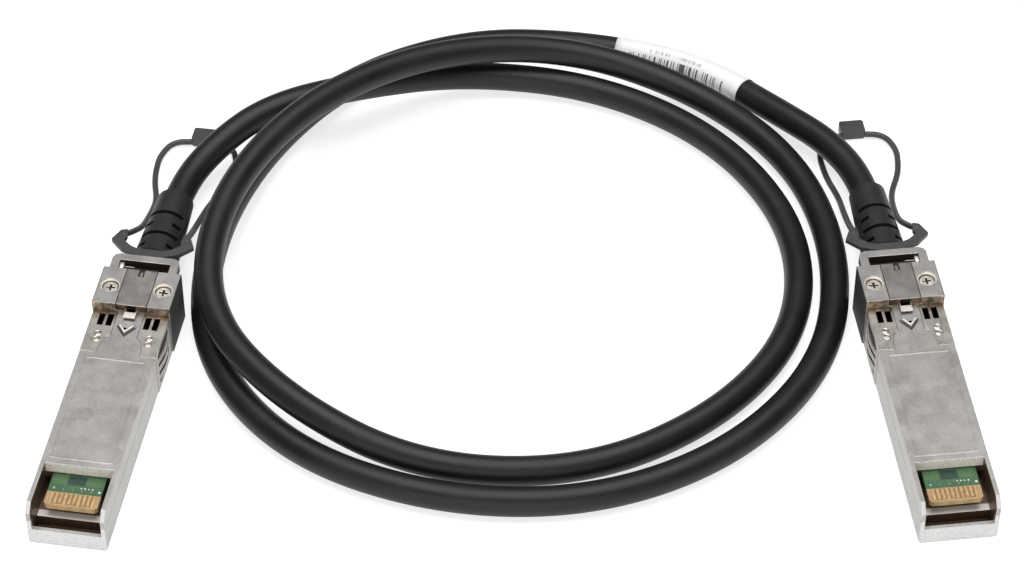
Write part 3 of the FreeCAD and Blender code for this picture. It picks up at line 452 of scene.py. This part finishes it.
def moulded(name, dark, light, rough, edge_round):
    """Moulded black plastic or rubber: spark-eroded skin, slight bloom on edges."""
    f = Finish(name, Specular_IOR_Level=0.42)
    rounded, edges = f.worn(edge_round)
    skin = f.grain(5200, 4)
    bloom = f.grain(240, 4, rough=0.6)
    colour = f.blend(f.span(bloom * 0.7 + skin * 0.3, 0.35, 0.65), dark, light)
    f.feed(
        Base_Color=f.blend(edges * 0.5, colour, grey(light[1] * 2.0, 0.03)),
        Roughness=f.span(skin * 0.5 + bloom * 0.5, 0.35, 0.65, rough - 0.07, rough + 0.08),
    )
    f.bump(skin, 0.4, 0.03 * MM, rounded)
    return f.material


def jacket(name):
    """Extruded cable jacket: long soft hollows over the inner pairs, fine drag lines and specks."""
    f = Finish(name, Specular_IOR_Level=0.36)
    drag = f.grain(60, 3, (0.5, 1, 1), "UV")
    hollow = f.grain(60, 2)
    skin = f.grain(6500, 3)
    dust = f.span(f.grain(2400, 5, rough=0.7), 0.66, 0.74)
    bloom = f.grain(95, 3)
    colour = f.blend(f.span(bloom, 0.35, 0.65), grey(0.0045, 0.04), grey(0.009, 0.04))
    f.feed(
        Base_Color=f.blend(dust * 0.25, colour, grey(0.12, 0.05)),
        Roughness=f.span(skin * 0.5 + bloom * 0.5, 0.35, 0.65, 0.38, 0.52),
    )
    f.bump(hollow * 0.5 + drag * 0.012 + skin * 0.004, 0.6, 0.8 * MM)
    return f.material


def laminate(name, side):
    """Board with solder mask: woven glass under green lacquer, bare and tan round the contacts."""
    f = Finish(name, Specular_IOR_Level=0.5, Coat_Roughness=0.18, Roughness=0.4)
    wave = {"Vector": f.place(), "Scale": 900, "Distortion": 0.6}
    across = f.node("ShaderNodeTexWave", {"bands_direction": "X"}, wave)
    along = f.node("ShaderNodeTexWave", {"bands_direction": "Y"}, wave)
    weave = across * 0.5 + along * 0.5
    cloud = f.grain(420, 4)
    tone = f.span(weave * 0.4 + cloud * 0.6, 0.3, 0.7)
    lacquered = f.blend(tone, (0.022, 0.085, 0.03, 1), (0.05, 0.15, 0.06, 1))
    glass = f.blend(tone, (0.36, 0.23, 0.11, 1), (0.52, 0.36, 0.19, 1))
    x, y, z = f.plug_axes(side)
    bare = within(y, 0, 6.25)
    gaps = within(y, 3.6, 6.1) * (abs(x) < 3.9) * (z > 6.2)
    glass = f.blend(gaps * 0.8, glass, (0.20, 0.105, 0.045, 1))
    f.feed(Base_Color=f.blend(bare, lacquered, glass), Coat_Weight=f.span(bare, 0, 1, 0.45, 0.1))
    f.bump(weave, 0.15, 0.02 * MM)
    return f.material


def plating(name, colour, rough, mottled):
    """Thin metal plating with slight mottling."""
    f = Finish(name, Metallic=1.0)
    rounded, edges = f.worn(0.05 * MM)
    cloud = f.grain(1500, 4, rough=0.6)
    f.feed(
        Base_Color=f.blend(f.span(cloud, 0.35, 0.65), colour, mottled),
        Roughness=f.span(cloud, 0.35, 0.65, rough, rough + 0.12) - edges * 0.05,
    )
    f.bump(f.grain(6000, 2), 0.15, 0.01 * MM, rounded)
    return f.material


def lacquer(name, dark, light, rough):
    """Painted or moulded small parts with slight speckle."""
    f = Finish(name, Specular_IOR_Level=0.45)
    speck = f.grain(3500, 4)
    f.feed(
        Base_Color=f.blend(f.span(speck, 0.35, 0.65), dark, light),
        Roughness=f.span(speck, 0.35, 0.65, rough - 0.05, rough + 0.1),
    )
    f.bump(speck, 0.25, 0.02 * MM)
    return f.material


def printed_film(name):
    """White wrap film with plain bars and blocks of tone, drawn along (U) and round (V)."""
    f = Finish(name, Specular_IOR_Level=0.5, Coat_Weight=0.25, Coat_Roughness=0.25)
    spot = f.node("ShaderNodeTexCoord", {}, {}, "UV")
    cut = f.node("ShaderNodeSeparateXYZ", {}, {"Vector": spot}, "X")
    round_ = f.node("ShaderNodeSeparateXYZ", {}, {"Vector": spot}, "Y")
    column = f.node("ShaderNodeMath", {"operation": "FLOOR"}, {0: cut * BAR_COLUMNS})
    chance = f.node("ShaderNodeTexWhiteNoise", {"noise_dimensions": "1D"}, {"W": column})

    code = (chance > 0.56) * within(cut, 0.1, 0.86) * within(round_, 0.30, 0.45)
    marks = (chance > 0.35) * within(cut, 0.24, 0.64) * within(round_, 0.485, 0.525)
    strip = within(cut, 0.12, 0.70) * within(round_, 0.235, 0.262)
    strip = strip + within(cut, 0.12, 0.48) * within(round_, 0.195, 0.215)
    ink = f.span(code + strip + marks * 0.5, 0, 1)
    fibre = f.grain(2600, 4)
    paper = f.blend(f.span(fibre, 0.35, 0.65), (0.84, 0.84, 0.85, 1), (0.90, 0.90, 0.90, 1))
    f.feed(
        Base_Color=f.blend(ink * 0.9, paper, grey(0.045)),
        Roughness=f.span(fibre, 0.35, 0.65, 0.38, 0.52),
    )
    f.bump(fibre, 0.12, 0.02 * MM)
    return f.material


def table_top(name):
    """Plain pale sweep that glows a little, as a light table does."""
    glow = {"Emission_Color": (1, 1, 1, 1), "Emission_Strength": 0.72}
    f = Finish(name, Roughness=0.7, Specular_IOR_Level=0.1, **glow)
    cloud = f.grain(6, 3)
    f.feed(Base_Color=f.blend(cloud, (0.50, 0.50, 0.50, 1), (0.52, 0.52, 0.52, 1)))
    return f.material


CAST_TONES = (grey(0.31, 0.03), grey(0.45, 0.025), grey(0.86, 0.03), 0.36)
TAB = moulded("tab_plastic_black", grey(0.04, -0.02), grey(0.062, -0.02), 0.45, 0.2 * MM)
RUBBER = moulded("relief_rubber_black", grey(0.010, 0.03), grey(0.019, 0.03), 0.5, 0.15 * MM)
GOLD = plating("contact_gold", (0.46, 0.30, 0.14, 1), 0.34, (0.60, 0.41, 0.21, 1))
FOIL = plating("wire_foil_silver", grey(0.7), 0.3, grey(0.85))
BRASS = plating("ferrule_plated", grey(0.62, 0.06), 0.28, grey(0.75, 0.08))
STEEL = plated_sheet("bright_steel", (0.78, 0.74, 0.67, 1), 0.24)
# A dark sheet of painted shade for the plate under the rear slot
SHADE_SHEET = plated_sheet("painted_shade_sheet", PAINTED_SHADE_BROWN, 0.4)
SPRING = plated_sheet("spring_end_steel", (0.92, 0.87, 0.80, 1), 0.55, relief=0.1)
EPOXY = lacquer("chip_epoxy", grey(0.015), grey(0.03), 0.45)
SILK = lacquer("board_silk_white", grey(0.6), grey(0.75), 0.5)
TRACE = lacquer("board_trace_green", (0.055, 0.125, 0.05, 1), (0.085, 0.17, 0.07, 1), 0.35)
PATCH = lacquer("board_patch_dark", (0.012, 0.035, 0.03, 1), (0.02, 0.055, 0.045, 1), 0.35)
TIN = plating("tinned_pad", grey(0.7), 0.3, grey(0.8))
JACKET = jacket("cable_jacket_black")
FILM = printed_film("wrap_label_white")

NODE_FINISH = {
    "pull_tab": TAB,
    "edge_contacts": GOLD,
    "board_components": EPOXY,
    "twinax_pairs": FOIL,
    "crimp_ferrule": BRASS,
    "strain_relief": RUBBER,
}
for side in PLUGS:
    finishes = dict(NODE_FINISH)
    finishes["bottom_shell"] = cast_metal(f"{side}_tub_skin", *CAST_TONES, tub_zones, side)
    finishes["top_shell"] = cast_metal(f"{side}_cover_skin", *CAST_TONES, cover_zones, side)
    finishes["emi_collar"] = plated_sheet(
        f"{side}_nickel_sheet", (0.54, 0.505, 0.465, 1), 0.3, (1, 1, 1), collar_zones, side, 0.05
    )
    finishes["release_slide"] = plated_sheet(
        f"{side}_satin_slide", (0.30, 0.285, 0.265, 1), 0.36, (1, 0.12, 1), slide_zones, side
    )
    finishes["cover_screws"] = plated_sheet(
        f"{side}_screw_plate", (0.86, 0.80, 0.72, 1), 0.3, (1, 1, 1), screw_zones, side
    )
    finishes["circuit_board"] = laminate(f"{side}_green_laminate", side)
    for piece, finish in finishes.items():
        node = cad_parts[f"{side}_{piece}"]
        node.data.materials.clear()
        node.data.materials.append(finish)


# ---------------------------------------------------------------- mesh helpers


def new_piece(name, work, finish, body, place=None, smooth=True):
    """A piece from a bmesh, with its finish, on its body."""
    mesh = bpy.data.meshes.new(name)
    bmesh.ops.recalc_face_normals(work, faces=work.faces)
    work.to_mesh(mesh)
    work.free()
    mesh.materials.append(finish)
    if smooth:
        for face in mesh.polygons:
            face.use_smooth = True
    piece = bpy.data.objects.new(name, mesh)
    if place is not None:
        piece.matrix_world = place
    bpy.context.scene.collection.objects.link(piece)
    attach(piece, body)
    return piece


def slab(work, outline, low, high, soften=0.0):
    """A flat plate of any outline, in millimetres, with its upper edges softened."""
    foot = [work.verts.new((x * MM, y * MM, low * MM)) for x, y in outline]
    face = work.faces.new(foot)
    raised = bmesh.ops.extrude_face_region(work, geom=[face])
    tops = [item for item in raised["geom"] if isinstance(item, bmesh.types.BMVert)]
    bmesh.ops.translate(work, verts=tops, vec=(0, 0, (high - low) * MM))
    if soften:
        level = high * MM
        rim = [e for e in work.edges if all(v in tops for v in e.verts)]
        edges = [e for e in rim if abs(e.verts[0].co.z - level) < 1e-9]
        bmesh.ops.bevel(
            work, geom=edges, offset=soften * MM, segments=2, affect="EDGES", clamp_overlap=True
        )
    return work


def rectangle(x_low, x_high, y_low, y_high):
    """A four-sided outline."""
    return [(x_low, y_low), (x_high, y_low), (x_high, y_high), (x_low, y_high)]


def disc(centre, radius, sides=18):
    """A round outline."""
    spots = []
    for step in range(sides):
        angle = math.tau * step / sides
        spots.append((centre[0] + radius * math.cos(angle), centre[1] + radius * math.sin(angle)))
    return spots


def turned_ring(work, centre, profile, sides=28):
    """A ring turned about an upright axis; the profile is (radius, height) pairs in millimetres."""
    rings = []
    for step in range(sides):
        angle = math.tau * step / sides
        ring = []
        for radius, height in profile:
            x = centre[0] + radius * math.cos(angle)
            y = centre[1] + radius * math.sin(angle)
            ring.append(work.verts.new((x * MM, y * MM, height * MM)))
        rings.append(ring)
    count = len(profile)
    for step in range(sides):
        one, other = rings[step], rings[(step + 1) % sides]
        for spot in range(count):
            after = (spot + 1) % count
            work.faces.new((one[spot], other[spot], other[after], one[after]))
    return work


def frames_along(points):
    """A tangent and two crossing directions at each point, without twist."""
    frames = []
    side = None
    for index, point in enumerate(points):
        before = points[max(index - 1, 0)]
        after = points[min(index + 1, len(points) - 1)]
        along = (after - before).normalized()
        if side is None:
            side = along.cross(Vector((0, 0, 1))).normalized()
        side = (side - along * side.dot(along)).normalized()
        frames.append((point, along, side, side.cross(along)))
    return frames


# ---------------------------------------------------------------- cable jacket


def distances(points):
    """How far along the line each point is."""
    lengths = [0.0]
    for before, after in zip(points, points[1:]):
        lengths.append(lengths[-1] + (after - before).length)
    return lengths


def make_jacket():
    """The cable: a round section carried along the centre line, with U along it and V round it."""
    sides = 36
    work = bmesh.new()
    sheet = work.loops.layers.uv.new("UVMap")
    rows = []
    lengths = distances(centreline)
    for point, along, side, up in frames_along(centreline):
        row = []
        for step in range(sides):
            angle = math.tau * step / sides
            reach = (side * math.cos(angle) + up * math.sin(angle)) * (CABLE_DIAMETER / 2)
            row.append(work.verts.new(point + reach))
        rows.append(row)
    for number, (row, after) in enumerate(zip(rows, rows[1:])):
        for step in range(sides):
            other = (step + 1) % sides
            face = work.faces.new((row[step], row[other], after[other], after[step]))
            for loop, (down, across) in zip(face.loops, ((0, 0), (0, 1), (1, 1), (1, 0))):
                loop[sheet].uv = (lengths[number + down], (step + across) / sides)
    work.faces.new(rows[0])
    work.faces.new(rows[-1])
    piece = new_piece("jacketed_cable", work, JACKET, ASSEMBLY)
    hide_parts("cable")
    return piece


cable = make_jacket()


# ---------------------------------------------------------------- label


LABEL_SPOT = (35.2, 68.8, 3.0)
LABEL_BEFORE = 16.4
LABEL_AFTER = 12.6
FILM_STAND_OFF = 0.08
LAP_RISE = 0.05
END_LIFT = 0.03


def make_label():
    """The wrapped film round the cable, with a lapped edge and slightly lifted ends."""
    middle = Vector(LABEL_SPOT) * MM
    nearest = min(range(len(centreline)), key=lambda i: (centreline[i] - middle).length)
    lengths = distances(centreline)
    low = lengths[nearest] - LABEL_BEFORE * MM
    high = lengths[nearest] + LABEL_AFTER * MM
    keep = [i for i in range(len(centreline)) if low <= lengths[i] <= high]
    points = [centreline[i] for i in keep]
    sides = 40
    work = bmesh.new()
    sheet = work.loops.layers.uv.new("UVMap")
    rows = []
    for number, (point, along, side, up) in enumerate(frames_along(points)):
        share = number / (len(points) - 1)
        lift = END_LIFT * max(0.0, 1 - min(share, 1 - share) * 14)
        row = []
        for step in range(sides + 3):
            angle = math.tau * step / sides - 2.2
            radius = CABLE_DIAMETER / 2 + (FILM_STAND_OFF + lift + LAP_RISE * step / sides) * MM
            spot = point + (side * math.cos(angle) + up * math.sin(angle)) * radius
            row.append(work.verts.new(spot))
        rows.append(row)
    for number, (row, after) in enumerate(zip(rows, rows[1:])):
        for step in range(sides + 2):
            face = work.faces.new((row[step], row[step + 1], after[step + 1], after[step]))
            spans = ((0, 0), (0, 1), (1, 1), (1, 0))
            for loop, (down, across) in zip(face.loops, spans):
                u = (number + down) / (len(rows) - 1)
                loop[sheet].uv = (u, (step + across) / (sides + 2))
    piece = new_piece("wrap_label", work, FILM, ASSEMBLY)
    thick = piece.modifiers.new("film", "SOLIDIFY")
    thick.thickness = 0.06 * MM
    thick.offset = -1
    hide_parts("cable_label")
    return piece


label = make_label()


# ---------------------------------------------------------------- board detail

def board_detail(side):
    """Traces, fields, a dark patch, white marks and vias on the visible end of the board."""
    place = PLACE[side]
    chance = random.Random(7)
    traces = bmesh.new()
    for index in range(10):
        x = (index - 4.5) * 0.8
        end = 9.6 + 0.5 * (index % 3)
        slab(traces, rectangle(x - 0.05, x + 0.05, 6.7, end), BOARD_TOP, BOARD_TOP + 0.012)
    fields = ((-4.1, -1.9, 8.0, 10.1), (1.5, 4.0, 8.2, 10.1), (-0.9, 0.5, 7.2, 7.8))
    for field in fields:
        slab(traces, rectangle(*field), BOARD_TOP, BOARD_TOP + 0.02)
    new_piece(f"{side}_board_traces", traces, TRACE, ASSEMBLY, place, False)
    patch = bmesh.new()
    slab(patch, rectangle(-1.7, 1.3, 8.1, 10.1), BOARD_TOP, BOARD_TOP + 0.02)
    new_piece(f"{side}_board_patch", patch, PATCH, ASSEMBLY, place, False)
    silk = bmesh.new()
    for x, y, size in ((-3.7, 7.1, 0.16), (4.1, 7.05, 0.24)):
        slab(silk, disc((x, y), size), BOARD_TOP, BOARD_TOP + 0.02)
    for x, size in ((0.9, 0.15), (1.55, 0.17), (2.2, 0.14), (2.85, 0.17)):
        slab(silk, disc((x, 7.5), size, 12), BOARD_TOP + 0.015, BOARD_TOP + 0.03)
    new_piece(f"{side}_board_marks", silk, SILK, ASSEMBLY, place, False)
    vias = bmesh.new()
    for index in range(0, 10, 2):
        x = (index - 4.5) * 0.8 + chance.uniform(-0.08, 0.08)
        y = 6.95 + 0.4 * (index % 2)
        rim = BOARD_TOP + 0.02
        profile = [(0.07, BOARD_TOP), (0.07, rim), (0.14, rim), (0.14, BOARD_TOP)]
        turned_ring(vias, (x, y), profile, 12)
    new_piece(f"{side}_board_vias", vias, TIN, ASSEMBLY, place)


# ---------------------------------------------------------------- collar and head detail


def collar_detail(side):
    """Pressed rims and wells of the clip holes, a dark plate of painted shade under the rear slot, and
    the spring's end in the slot.
    """
    place = PLACE[side]
    rims = bmesh.new()
    for sign in (-1, 1):
        for y in CLIP_ALONG:
            profile = [(0.42, 8.48), (0.46, 8.62), (0.56, 8.66), (0.68, 8.60), (0.74, 8.48)]
            turned_ring(rims, (sign * CLIP_ACROSS, y), profile)
    new_piece(f"{side}_clip_rims", rims, STEEL, ASSEMBLY, place)
    wells = bmesh.new()
    for sign in (-1, 1):
        for y in CLIP_ALONG:
            slab(wells, disc((sign * CLIP_ACROSS, y), 0.41), 8.26, 8.30)
    new_piece(f"{side}_clip_wells", wells, STEEL, ASSEMBLY, place, False)
    # A dark plate of painted shade under the rear slot
    seat = bmesh.new()
    slab(seat, rectangle(-4.5, 4.5, 56.45, 59.4), 7.74, 7.92, 0.05)
    new_piece(f"{side}_painted_shade_plate", seat, SHADE_SHEET, ASSEMBLY, place, False)
    spring = bmesh.new()
    outer = 4.55 if side == "right" else -4.55
    inner = outer - math.copysign(0.75, outer)
    spans = sorted((outer, inner))
    slab(spring, rectangle(spans[0] + 0.04, spans[1], 57.0, 58.4), 8.75, 9.95, 0.12)
    new_piece(f"{side}_spring_end", spring, SPRING, ASSEMBLY, place)


for side in PLUGS:
    board_detail(side)
    collar_detail(side)


# ---------------------------------------------------------------- floor and light

work = bmesh.new()
bmesh.ops.create_grid(work, x_segments=2, y_segments=2, size=1.5)
mesh = bpy.data.meshes.new("paper_sweep")
work.to_mesh(mesh)
work.free()
mesh.materials.append(table_top("pale_paper"))
floor = bpy.data.objects.new("paper_sweep", mesh)
bpy.context.scene.collection.objects.link(floor)


def softbox(name, spot, aim_at, width, depth, power, tint=(1, 1, 1)):
    """A large soft light."""
    light = bpy.data.lights.new(name, "AREA")
    light.shape = "RECTANGLE"
    light.size = width
    light.size_y = depth
    light.energy = power
    light.color = tint
    item = bpy.data.objects.new(name, light)
    item.location = spot
    item.rotation_euler = (Vector(aim_at) - Vector(spot)).to_track_quat("-Z", "Y").to_euler()
    bpy.context.scene.collection.objects.link(item)


softbox("overhead_softbox", (0.0, 0.08, 0.8), (0, 0, 0), 0.8, 0.8, 7.5, (1, 0.99, 0.975))
softbox("front_fill", (-0.12, -0.95, 0.36), (0, 0, 0), 1.3, 0.7, 4.6, (1, 0.98, 0.95))

world = bpy.data.worlds.new("studio_room")
world.use_nodes = True
room = world.node_tree
room.nodes["Background"].inputs["Color"].default_value = (0.93, 0.95, 1.0, 1)
room.nodes["Background"].inputs["Strength"].default_value = 0.2
bpy.context.scene.world = world
bpy.context.scene.view_settings.view_transform = "Standard"
